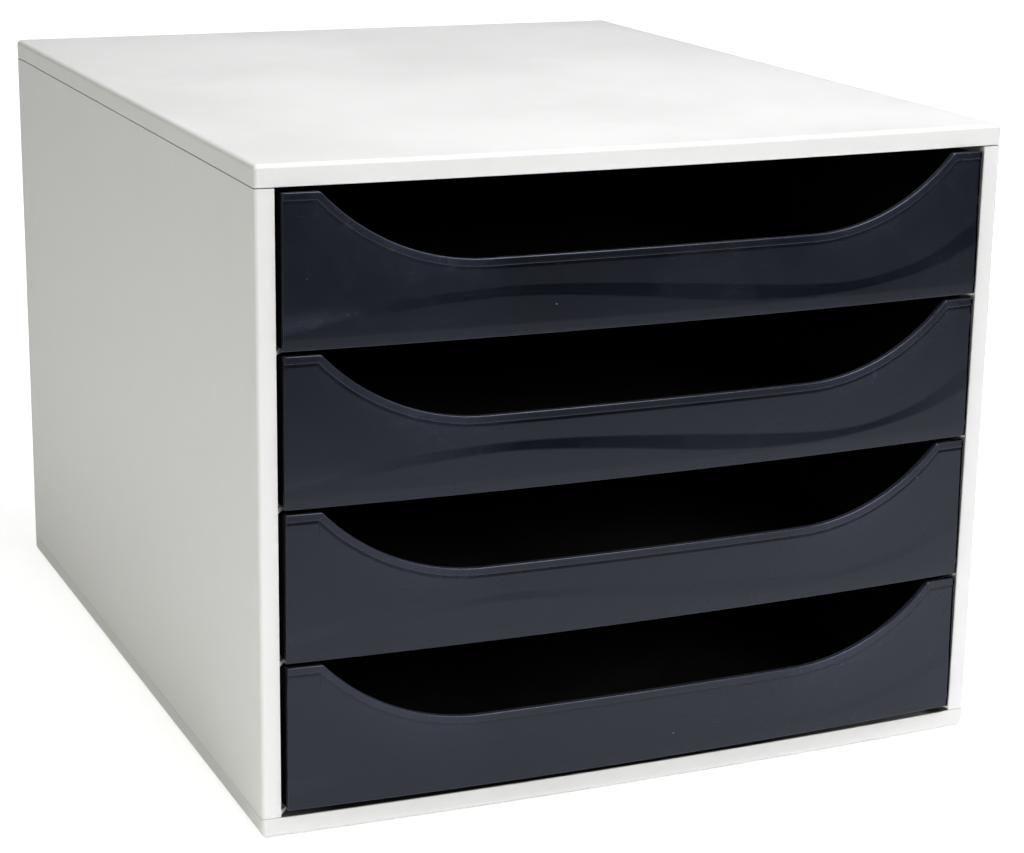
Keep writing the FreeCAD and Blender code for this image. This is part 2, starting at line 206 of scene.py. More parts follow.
class EffectGroup:
    """A shader node group with named inputs and outputs, shared by several finishes."""

    def __init__(self, name: str, inputs: dict[str, object], outputs: tuple[str, ...]) -> None:
        """Starts a group.

        Args:
            name: The group's name.
            inputs: Each input's name and default value; a vector input's default is None.
            outputs: The names of the outputs, all plain values.
        """
        self.tree = bpy.data.node_groups.new(name, "ShaderNodeTree")
        for label, value in inputs.items():
            kind = "NodeSocketVector" if value is None else "NodeSocketFloat"
            socket = self.tree.interface.new_socket(name=label, in_out="INPUT", socket_type=kind)
            if value is not None:
                socket.default_value = value
        for label in outputs:
            self.tree.interface.new_socket(name=label, in_out="OUTPUT", socket_type="NodeSocketFloat")
        self.bench = NodeBench(self.tree)
        self.source = self.bench.add("NodeGroupInput").outputs
        self.sink = self.bench.add("NodeGroupOutput").inputs

    def give(self, label: str, value: bpy.types.NodeSocket) -> None:
        """Feeds one of the group's outputs."""
        self.bench.feed(self.sink[label], value)


def moulded_grain() -> bpy.types.NodeTree:
    """The fine skin that a mould leaves on plastic.

    Returns:
        A group that puts out a Height between 0 and 1: small pits, and a much wider, softer waviness.
    """
    inputs = {"Vector": None, "Scale": 2500.0, "Waviness": 0.3}
    group = EffectGroup("moulded_grain", inputs, ("Height",))
    bench, source = group.bench, group.source
    pits = bench.noise(source["Vector"], source["Scale"], detail=2.0, roughness=0.55)
    wave = bench.noise(source["Vector"], bench.math("MULTIPLY", source["Scale"], 0.004), detail=1.0)
    group.give("Height", bench.math("MULTIPLY_ADD", wave, source["Waviness"], pits))
    return group.tree


def tone_drift() -> bpy.types.NodeTree:
    """Slow drift of tone over a moulding.

    Returns:
        A group that puts out a Drift from 0 to 1, made of a wide and a middling cloud.
    """
    group = EffectGroup("tone_drift", {"Vector": None, "Scale": 12.0, "Contrast": 1.0}, ("Drift",))
    bench, source = group.bench, group.source
    wide = bench.noise(source["Vector"], source["Scale"], detail=3.0, roughness=0.45)
    fine = bench.noise(source["Vector"], bench.math("MULTIPLY", source["Scale"], 9.0), detail=2.0)
    cloud = bench.math("MULTIPLY_ADD", bench.math("SUBTRACT", fine, 0.5), 0.35, wide)
    centred = bench.math("MULTIPLY", bench.math("SUBTRACT", cloud, 0.5), source["Contrast"])
    group.give("Drift", bench.ramp(bench.math("ADD", centred, 0.5), 0.2, 0.8))
    return group.tree


def edge_wear() -> bpy.types.NodeTree:
    """Broken-up wear along edges, which on the casing and the fronts also stands for a painted highlight.

    Returns:
        A group that puts out a mask for wear and painted highlight: the given edge mask, eaten into by
        small noise.
    """
    inputs = {"Vector": None, "Edge": 0.0, "Scale": 700.0, "Amount": 1.0}
    group = EffectGroup("edge_wear", inputs, ("Wear",))
    bench, source = group.bench, group.source
    patches = bench.noise(source["Vector"], source["Scale"], detail=3.0, roughness=0.6)
    uneven = bench.math("MULTIPLY", source["Edge"], bench.ramp(patches, 0.3, 0.7, 0.35, 1.0))
    group.give("Wear", bench.math("MULTIPLY", uneven, source["Amount"]))
    return group.tree


def corner_distance() -> bpy.types.NodeTree:
    """How near a point of a box-shaped object is to one of its long outer edges.

    Returns:
        A group that puts out an Edge mask: 1 on an edge of the box of the given half sizes, 0 from Width
        on.
    """
    group = EffectGroup("corner_distance", {"Vector": None, "Half X": 0.1, "Half Y": 0.1, "Half Z": 0.1,
                                            "Width": 0.002}, ("Edge",))
    bench, source = group.bench, group.source
    place = bench.add("ShaderNodeSeparateXYZ", {0: source["Vector"]}).outputs
    gaps = [bench.math("SUBTRACT", source["Half " + axis], bench.math("ABSOLUTE", place[axis]))
            for axis in "XYZ"]
    low = bench.math("MINIMUM", gaps[0], gaps[1])
    high = bench.math("MAXIMUM", gaps[0], gaps[1])
    second = bench.math("MAXIMUM", low, bench.math("MINIMUM", high, gaps[2]))
    share = bench.math("DIVIDE", second, source["Width"])
    group.give("Edge", bench.ramp(share, 0.0, 1.0, 1.0, 0.0))
    return group.tree


def dust_film() -> bpy.types.NodeTree:
    """A thin uneven film of dust with a few separate specks.

    Returns:
        A group that puts out a Film mask and a sparser Specks mask.
    """
    group = EffectGroup("dust_film", {"Vector": None, "Scale": 90.0, "Speck Scale": 420.0,
                                      "Speck Size": 0.06}, ("Film", "Specks"))
    bench, source = group.bench, group.source
    cloud = bench.noise(source["Vector"], source["Scale"], detail=4.0, roughness=0.6)
    cells = bench.add("ShaderNodeTexVoronoi", {"Vector": source["Vector"],
                                               "Scale": source["Speck Scale"]})
    chosen = bench.ramp(bench.add("ShaderNodeSeparateColor", {0: cells.outputs["Color"]}).outputs[0],
                        0.97, 0.98)
    dot = bench.math("LESS_THAN", cells.outputs["Distance"], source["Speck Size"])
    group.give("Film", bench.ramp(cloud, 0.45, 0.8))
    group.give("Specks", bench.math("MULTIPLY", dot, chosen))
    return group.tree


@dataclass(frozen=True)
class Effects:
    """The shared effect groups, each built once."""

    grain: bpy.types.NodeTree = field(default_factory=moulded_grain)
    drift: bpy.types.NodeTree = field(default_factory=tone_drift)
    wear_and_highlight: bpy.types.NodeTree = field(default_factory=edge_wear)
    corners: bpy.types.NodeTree = field(default_factory=corner_distance)
    dust: bpy.types.NodeTree = field(default_factory=dust_film)


# ---- Finishes -------------------------------------------------------------------------------------
class FinishSheet:
    """One material in the making: its nodes, its Principled shader and the object's own coordinates."""

    def __init__(self, name: str) -> None:
        """Starts a material.

        Args:
            name: The material's name.
        """
        self.material = bpy.data.materials.new(name)
        self.material.use_nodes = True
        self.material.node_tree.nodes.clear()
        self.bench = NodeBench(self.material.node_tree)
        self.shader = self.bench.add("ShaderNodeBsdfPrincipled")
        self.bench.add("ShaderNodeOutputMaterial", {"Surface": self.shader.outputs[0]})
        self.place = self.bench.add("ShaderNodeTexCoord").outputs["Object"]

    def effect(self, tree: bpy.types.NodeTree, vector: bpy.types.NodeSocket | None = None,
               **values: object) -> bpy.types.NodeOutputs:
        """Places an effect group.

        Args:
            tree: The group.
            vector: Where it is read, or None for the object's own coordinates.
            **values: The group's other inputs, with _ for a space in a name.

        Returns:
            The group's outputs.
        """
        inputs = {"Vector": vector or self.place}
        inputs.update({label.replace("_", " "): value for label, value in values.items()})
        return self.bench.add("ShaderNodeGroup", inputs, node_tree=tree).outputs

    def moved(self, offset: tuple[float, float, float] = (0.0, 0.0, 0.0),
              scale: tuple[float, float, float] = (1.0, 1.0, 1.0)) -> bpy.types.NodeSocket:
        """The object's coordinates after a Mapping node.

        Args:
            offset: Added to the place, in metres.
            scale: Stretch of the pattern along each axis.

        Returns:
            The moved vector's socket.
        """
        return self.bench.add("ShaderNodeMapping", {"Vector": self.place, "Location": offset,
                                                    "Scale": scale}).outputs[0]

    def bump(self, height: bpy.types.NodeSocket, distance: float) -> None:
        """Feeds the shader's normal from a height.

        Args:
            height: The height's socket.
            distance: How far a height of 1 stands out, in metres.
        """
        node = self.bench.add("ShaderNodeBump", {"Strength": 1.0, "Distance": distance,
                                                 "Height": height})
        self.bench.feed(self.shader.inputs["Normal"], node.outputs[0])

    def set(self, **values: object) -> None:
        """Sets the shader's inputs, with _ for a space in a name."""
        for label, value in values.items():
            self.bench.feed(self.shader.inputs[label.replace("_", " ")], value)


@dataclass(frozen=True)
class SatinCasing:
    """White satin plastic of the casing: fine grain, slightly polished outer edges that a lighter colour
    marks as wear and as a painted highlight, and painted shade on the base's inner plate.

    polish and dulling are what the edge mask and dust add to the roughness.
    """

    light: Colour = (0.775, 0.776, 0.777, 1.0)
    dark: Colour = (0.741, 0.743, 0.742, 1.0)
    worn_and_highlit: Colour = (0.82, 0.82, 0.82, 1.0)
    unlit: Colour = (0.05, 0.05, 0.055, 1.0)
    roughness: Span = (0.36, 0.46)
    polish: float = -0.10
    dulling: float = 0.06
    grain_depth: float = 0.012 * MM
    edge_width: float = 2.2 * MM

    def material(self, effects: Effects, low: Vector, high: Vector) -> bpy.types.Material:
        """Builds the material.

        Args:
            effects: The shared effect groups.
            low: Lowest corner of the whole casing.
            high: Highest corner of the whole casing.

        Returns:
            The casing's material, which reads the base's "shade" attribute to paint shade on the base's
            inner plate.
        """
        sheet = FinishSheet("satin_white_plastic")
        middle, half = (low + high) / 2, (high - low) / 2
        drift = sheet.effect(effects.drift, Scale=9.0, Contrast=0.9)["Drift"]
        edge = sheet.effect(effects.corners, sheet.moved(offset=tuple(-middle)), Half_X=half.x,
                            Half_Y=half.y, Half_Z=half.z, Width=self.edge_width)["Edge"]
        wear_and_highlight = sheet.effect(effects.wear_and_highlight, Edge=edge, Scale=500.0, Amount=0.8)["Wear"]
        dust = sheet.effect(effects.dust, Scale=60.0)["Film"]
        # the lighter worn colour at the casing's outer edges is wear and a painted highlight
        tone = sheet.bench.blend(wear_and_highlight, sheet.bench.blend(drift, self.dark, self.light), self.worn_and_highlit)
        # painted shade: where the base's "shade" attribute is 1, on its inner plate, the colour turns to
        # the near-black unlit tone
        shade = sheet.bench.add("ShaderNodeAttribute", attribute_name="shade").outputs["Fac"]
        sheet.set(Base_Color=sheet.bench.blend(shade, tone, self.unlit))
        rough = sheet.bench.ramp(drift, 0.0, 1.0, *self.roughness)
        polished = sheet.bench.math("MULTIPLY_ADD", wear_and_highlight, self.polish, rough)
        sheet.set(Roughness=sheet.bench.math("MULTIPLY_ADD", dust, self.dulling, polished))
        sheet.set(IOR=1.46, Specular_IOR_Level=0.5)
        grain = sheet.effect(effects.grain, Scale=2200.0, Waviness=6.0)["Height"]
        sheet.bump(grain, self.grain_depth)
        return sheet.material


@dataclass(frozen=True)
class GlossFront:
    """Glossy anthracite plastic of the drawer fronts: deep tone, hairlines, a trace of dust, lighter hazy
    patches, and rounds made lighter as wear and as a painted highlight.

    scratching, hazing and dulling are what hairlines, haze and dust add to the roughness.
    """

    deep: Colour = (0.0028, 0.0035, 0.0068, 1.0)
    bright: Colour = (0.0050, 0.0060, 0.0108, 1.0)
    worn_and_highlit: Colour = (0.034, 0.038, 0.050, 1.0)
    dusty: Colour = (0.16, 0.16, 0.17, 1.0)
    hazy: Colour = (0.026, 0.030, 0.048, 1.0)
    sheen: Colour = (0.66, 0.71, 0.86, 1.0)
    roughness: Span = (0.16, 0.25)
    scratching: float = 0.10
    hazing: float = 0.12
    dulling: float = 0.06
    speck_share: float = 0.8
    hair_stretch: float = 0.06
    grain_depth: float = 0.003 * MM

    def material(self, effects: Effects) -> bpy.types.Material:
        """Builds the material.

        Args:
            effects: The shared effect groups.

        Returns:
            The fronts' material, which reads the fronts' "edge" and "haze" attributes.
        """
        sheet = FinishSheet("gloss_anthracite_plastic")
        bench = sheet.bench
        drift = sheet.effect(effects.drift, Scale=16.0, Contrast=1.1)["Drift"]
        edge = bench.add("ShaderNodeAttribute", attribute_name="edge").outputs["Fac"]
        wear_and_highlight = sheet.effect(effects.wear_and_highlight, Edge=edge, Scale=900.0, Amount=0.6)["Wear"]
        dust = sheet.effect(effects.dust, Scale=140.0, Speck_Scale=160.0, Speck_Size=0.045)
        # the lighter worn colour on the rounds marked in "edge" is wear and a painted highlight
        tone = bench.blend(wear_and_highlight, bench.blend(drift, self.deep, self.bright), self.worn_and_highlit)
        haze = bench.add("ShaderNodeAttribute", attribute_name="haze").outputs["Fac"]
        haze = bench.math("MULTIPLY", haze, bench.ramp(dust["Film"], 0.0, 0.7, 0.75, 1.0))
        tone = bench.blend(haze, tone, self.hazy)
        specks = bench.math("MULTIPLY", dust["Specks"], self.speck_share)
        sheet.set(Base_Color=bench.blend(specks, tone, self.dusty))
        along = sheet.moved(scale=(self.hair_stretch, 1.0, 1.0))
        hairs = bench.ramp(bench.noise(along, 1800.0, detail=2.0, roughness=0.7), 0.62, 0.75)
        rough = bench.ramp(drift, 0.0, 1.0, *self.roughness)
        rough = bench.math("MULTIPLY_ADD", hairs, self.scratching, rough)
        rough = bench.math("MULTIPLY_ADD", haze, self.hazing, rough)
        sheet.set(Roughness=bench.math("MULTIPLY_ADD", dust["Film"], self.dulling, rough))
        sheet.set(IOR=1.5, Specular_IOR_Level=0.5, Specular_Tint=self.sheen)
        grain = sheet.effect(effects.grain, Scale=900.0, Waviness=9.0)["Height"]
        sheet.bump(grain, self.grain_depth)
        return sheet.material


@dataclass(frozen=True)
class MatteTray:
    """Matte black plastic of the trays, rubbed a little lighter where paper slides over it.

    polish is what the rubbing adds to the roughness.
    """

    deep: Colour = (0.0035, 0.0035, 0.0040, 1.0)
    bright: Colour = (0.0075, 0.0075, 0.0085, 1.0)
    rubbed: Colour = (0.016, 0.016, 0.018, 1.0)
    roughness: Span = (0.55, 0.72)
    polish: float = -0.1
    streak_stretch: float = 0.05
    grain_depth: float = 0.02 * MM

    def material(self, effects: Effects) -> bpy.types.Material:
        """Builds the material.

        Args:
            effects: The shared effect groups.

        Returns:
            The trays' material.
        """
        sheet = FinishSheet("matte_black_plastic")
        bench = sheet.bench
        drift = sheet.effect(effects.drift, Scale=14.0, Contrast=1.0)["Drift"]
        along = sheet.moved(scale=(1.0, self.streak_stretch, 1.0))
        streaks = bench.ramp(bench.noise(along, 700.0, detail=2.0), 0.55, 0.8)
        rubbed = sheet.effect(effects.wear_and_highlight, Edge=streaks, Scale=60.0, Amount=0.5)["Wear"]
        tone = bench.blend(drift, self.deep, self.bright)
        sheet.set(Base_Color=bench.blend(rubbed, tone, self.rubbed))
        rough = bench.ramp(drift, 0.0, 1.0, *self.roughness)
        sheet.set(Roughness=bench.math("MULTIPLY_ADD", rubbed, self.polish, rough))
        sheet.set(IOR=1.46, Specular_IOR_Level=0.35)
        grain = sheet.effect(effects.grain, Scale=1600.0, Waviness=2.0)["Height"]
        sheet.bump(grain, self.grain_depth)
        return sheet.material


@dataclass(frozen=True)
class FootRubber:
    """Dark rubber of the feet."""

    clean: Colour = (0.030, 0.030, 0.032, 1.0)
    scuffed: Colour = (0.085, 0.083, 0.080, 1.0)
    scuff_share: float = 0.6
    roughness: Span = (0.72, 0.88)
    grain_depth: float = 0.03 * MM

    def material(self, effects: Effects) -> bpy.types.Material:
        """Builds the material.

        Args:
            effects: The shared effect groups.

        Returns:
            The feet's material.
        """
        sheet = FinishSheet("foot_rubber")
        bench = sheet.bench
        drift = sheet.effect(effects.drift, Scale=220.0, Contrast=1.2)["Drift"]
        dust = sheet.effect(effects.dust, Scale=600.0, Speck_Scale=2600.0, Speck_Size=0.12)
        scuff = bench.math("MAXIMUM", dust["Film"], dust["Specks"])
        scuff = bench.math("MULTIPLY", scuff, self.scuff_share)
        sheet.set(Base_Color=bench.blend(scuff, self.clean, self.scuffed))
        sheet.set(Roughness=bench.ramp(drift, 0.0, 1.0, *self.roughness))
        sheet.set(IOR=1.5, Specular_IOR_Level=0.4)
        grain = sheet.effect(effects.grain, Scale=2600.0, Waviness=0.5)["Height"]
        sheet.bump(grain, self.grain_depth)
        return sheet.material


@dataclass(frozen=True)
class StudioPaper:
    """The pale matte paper that the object stands on, lit a little from below like a light table.

    The reaches are places along Y where the paper starts to change and where it has changed.
    """

    pale: Colour = (0.93, 0.93, 0.93, 1.0)
    shade: Colour = (0.91, 0.91, 0.91, 1.0)
    dim: Colour = (0.42, 0.42, 0.42, 1.0)
    glow: Colour = (0.13, 0.13, 0.13, 1.0)
    shown: Colour = (0.60, 0.60, 0.60, 1.0)
    shown_far: Colour = (0.90, 0.90, 0.90, 1.0)
    unlit: Colour = (0.0, 0.0, 0.0, 1.0)
    dim_reach: Span = (-0.95, -0.50)
    glow_reach: Span = (-0.65, -0.38)
    far_reach: Span = (0.30, 0.90)

    def material(self, effects: Effects) -> bpy.types.Material:
        """Builds the material, which looks pale to a camera and lights the object only a little.

        Args:
            effects: The shared effect groups.

        Returns:
            The floor's material.
        """
        sheet = FinishSheet("studio_paper")
        bench = sheet.bench
        drift = sheet.effect(effects.drift, Scale=2.0, Contrast=1.0)["Drift"]
        depth = bench.add("ShaderNodeSeparateXYZ", {0: sheet.place}).outputs[1]
        tone = bench.blend(drift, self.shade, self.pale)
        # painted shade: the paper turns dim in front of the object, out of the camera's view, so the
        # fronts reflect a darker floor
        tone = bench.blend(bench.ramp(depth, *self.dim_reach), self.dim, tone)
        sheet.set(Base_Color=tone, Roughness=0.9, Specular_IOR_Level=0.15)
        lit = bench.blend(bench.ramp(depth, *self.glow_reach), self.unlit, self.glow)
        away = bench.math("ADD", bench.ramp(depth, self.dim_reach[1], self.dim_reach[0]),
                          bench.ramp(depth, *self.far_reach))
        # camera rays see a painted glow that makes the paper pale, weaker near the object; this glow
        # lights nothing
        seen = bench.add("ShaderNodeLightPath").outputs["Is Camera Ray"]
        lit = bench.blend(seen, lit, bench.blend(away, self.shown, self.shown_far))
        sheet.set(Emission_Color=lit, Emission_Strength=1.0)
        return sheet.material


# ---- Meshes ---------------------------------------------------------------------------------------
def new_object(name: str, mesh: bpy.types.Mesh) -> bpy.types.Object:
    """Links a mesh into the scene at the origin.

    Args:
        name: The object's name, which its mesh takes too.
        mesh: The mesh.

    Returns:
        The new object.
    """
    mesh.name = name
    thing = bpy.data.objects.new(name, mesh)
    bpy.context.scene.collection.objects.link(thing)
    return thing


def poured(name: str, form: bmesh.types.BMesh) -> bpy.types.Object:
    """Turns a form into an object with smooth faces and frees the form.

    Args:
        name: The new object's name.
        form: The form, with its faces pointing outwards.

    Returns:
        The new object.
    """
    for face in form.faces:
        face.smooth = True
    mesh = bpy.data.meshes.new(name)
    form.to_mesh(mesh)
    form.free()
    return new_object(name, mesh)


def settled(thing: bpy.types.Object) -> bpy.types.Object:
    """Turns an object's modifiers into plain mesh and removes them.

    Args:
        thing: The object.

    Returns:
        The same object, with its evaluated mesh.
    """
    graph = bpy.context.evaluated_depsgraph_get()
    mesh = bpy.data.meshes.new_from_object(thing.evaluated_get(graph), preserve_all_data_layers=True,
                                           depsgraph=graph)
    thing.modifiers.clear()
    mesh.name = thing.name
    thing.data = mesh
    return thing


def dress(thing: bpy.types.Object, material: bpy.types.Material, slot: Slot, body: str,
          *nodes: str) -> bpy.types.Object:
    """Gives a finished piece its finish, its body and the nodes that it stands for.

    Args:
        thing: The piece.
        material: Its finish.
        slot: The record's material slot; not used.
        body: The body that it rides on.
        *nodes: The nodes that it replaces.

    Returns:
        The piece.
    """
    thing.data.materials.clear()
    thing.data.materials.append(material)
    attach(thing, body)
    if nodes:
        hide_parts(*nodes)
    LOG.info("%s: %d faces on %s", thing.name, len(thing.data.polygons), body)
    return thing


@dataclass
class MouldedCopy:
    """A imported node's own form, with joined faces, smooth rounds and softened sharp edges."""

    node: str
    name: str
    edge_round: float = 0.13 * MM
    crease: float = math.radians(30)
    flat: float = math.radians(0.3)
    merge: float = 0.001 * MM

    def refine(self, form: bmesh.types.BMesh) -> None:
        """Changes small details of the joined form; a plain copy keeps them all."""

    def build(self) -> bpy.types.Object:
        """Builds the piece.

        Returns:
            An object with a plain, smoothly shaded mesh.
        """
        form = bmesh.new()
        form.from_mesh(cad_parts[self.node].data)
        bmesh.ops.remove_doubles(form, verts=form.verts, dist=self.merge)
        bmesh.ops.dissolve_limit(form, angle_limit=self.flat, verts=form.verts, edges=form.edges)
        self.refine(form)
        piece = poured(self.name, form)
        bevel = piece.modifiers.new("edge_round", "BEVEL")
        bevel.limit_method = "ANGLE"
        bevel.angle_limit = self.crease
        bevel.width = self.edge_round
        bevel.segments = 2
        bevel.use_clamp_overlap = False
        bevel.harden_normals = False
        weighted = piece.modifiers.new("weighted_normals", "WEIGHTED_NORMAL")
        weighted.keep_sharp = True
        return settled(piece)


@dataclass
class SidePanelCopy(MouldedCopy):
    """A side panel with a crisp inner edge on its stile, which nearly touches the cover and the base."""

    stile_width: float = 7.0 * MM
    seam: float = 0.4 * MM
    closing: float = 0.26 * MM
    moulded_round: float = 1.2 * MM
    crisp_round: float = 0.35 * MM
    close: float = 0.02 * MM

    def refine(self, form: bmesh.types.BMesh) -> None:
        """Narrows the seams above and below the panel and the round on the stile's inner edge.

        Args:
            form: The joined form.
        """
        low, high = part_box(self.node)
        side = math.copysign(1.0, low.x + high.x)
        inner = max(abs(low.x), abs(high.x)) - self.stile_width
        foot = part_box("base_tray")[1].z + self.seam
        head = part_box("top_cover")[0].z - self.seam
        for point in form.verts:
            if abs(point.co.z - foot) < self.close:
                point.co.z -= self.closing
            elif abs(point.co.z - head) < self.close:
                point.co.z += self.closing
            across = side * point.co.x - inner - self.moulded_round
            along = point.co.y - low.y - self.moulded_round
            on_round = abs(math.hypot(across, along) - self.moulded_round) < self.close
            if on_round and across < self.close and along < self.close:
                share = self.crisp_round / self.moulded_round
                point.co.x = side * (inner + self.crisp_round + across * share)
                point.co.y = low.y + self.crisp_round + along * share


@dataclass
class BaseCopy(MouldedCopy):
    """The base with a tighter round along its lower sides and a deeper skirt."""

    half_width: float = 142.0 * MM
    moulded_round: float = 3.5 * MM
    tight_round: float = 2.2 * MM
    skirt_reach: float = 1.5 * MM
    deeper: float = 0.55 * MM
    bow: float = 3.6 * MM
    wall: float = 2.2 * MM
    slim_wall: float = 0.7 * MM
    tint: float = 0.06
    close: float = 0.02 * MM

    def tightened(self, across: float, down: float) -> float:
        """How much further out the tighter round lies.

        Args:
            across: How far a point lies outside the moulded round's axis.
            down: How far it lies below that axis.

        Returns:
            The factor for the point's distance from the axis.
        """
        angle = math.atan2(down, across)
        steep = max(math.cos(angle), math.sin(angle))
        off = self.moulded_round - self.tight_round
        flat_reach = self.moulded_round / steep
        if flat_reach * min(math.cos(angle), math.sin(angle)) <= off:
            return flat_reach / self.moulded_round
        along = off * (math.cos(angle) + math.sin(angle))
        round_reach = along + math.sqrt(along ** 2 - 2 * off ** 2 + self.tight_round ** 2)
        return round_reach / self.moulded_round

    def refine(self, form: bmesh.types.BMesh) -> None:
        """Tightens the lower rounds, lowers the skirt's foot and slims the front wall towards its top.

        The attribute "shade" makes the whole moulding a trace darker than the rest of the casing, and
        paints shade on the inner plate so that the gap under the lowest drawer looks dark.

        Args:
            form: The joined form.
        """
        shade = form.verts.layers.float.new("shade")
        low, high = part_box(self.node)
        axis_x, axis_z = self.half_width - self.moulded_round, low.z + self.moulded_round
        radius = (self.half_width ** 2 + self.bow ** 2) / (2 * self.bow)
        for point in form.verts:
            across, down = abs(point.co.x) - axis_x, axis_z - point.co.z
            if min(across, down) > self.close:
                grown = self.tightened(across, down)
                point.co.x = math.copysign(min(axis_x + across * grown, self.half_width), point.co.x)
                point.co.z = axis_z - down * grown
            rise = point.co.z - low.z
            if rise < self.skirt_reach:
                point.co.z -= self.deeper * (1 - rise / self.skirt_reach)
            aside = min(abs(point.co.x), self.half_width)
            front = low.y + radius - math.sqrt(radius ** 2 - aside ** 2)
            on_top = abs(point.co.z - high.z) < self.close
            if on_top and abs(point.co.y - front - self.wall) < self.wall / 4:
                point.co.y = front + self.slim_wall
            between = front + self.wall / 2 < point.co.y < high.y - self.wall / 2
            within = abs(point.co.x) < self.half_width - self.wall + self.close
            inside = between and within and rise > self.skirt_reach and not on_top
            # painted shade on the inner plate behind the gap under the lowest drawer; the rest of the
            # base gets only the slight tint
            point[shade] = 1.0 if inside else self.tint


# ---- Drawer fronts --------------------------------------------------------------------------------
def height_along(knots: Knots, x: float) -> float:
    """Height of a smooth line through knots; it goes on straight past its ends.

    Args:
        knots: (x, height) pairs in millimetres, in order of x.
        x: Where the height is wanted.

    Returns:
        The height in millimetres.
    """
    count = len(knots)
    slopes = []
    for i in range(count):
        before, after = knots[max(i - 1, 0)], knots[min(i + 1, count - 1)]
        slopes.append((after[1] - before[1]) / (after[0] - before[0]))
    if x <= knots[0][0]:
        return knots[0][1] + slopes[0] * (x - knots[0][0])
    if x >= knots[-1][0]:
        return knots[-1][1] + slopes[-1] * (x - knots[-1][0])
    i = max(k for k in range(count - 1) if knots[k][0] <= x)
    span = knots[i + 1][0] - knots[i][0]
    t = (x - knots[i][0]) / span
    return (knots[i][1] * (2 * t ** 3 - 3 * t ** 2 + 1) + slopes[i] * span * (t ** 3 - 2 * t ** 2 + t)
            + knots[i + 1][1] * (3 * t ** 2 - 2 * t ** 3) + slopes[i + 1] * span * (t ** 3 - t ** 2))


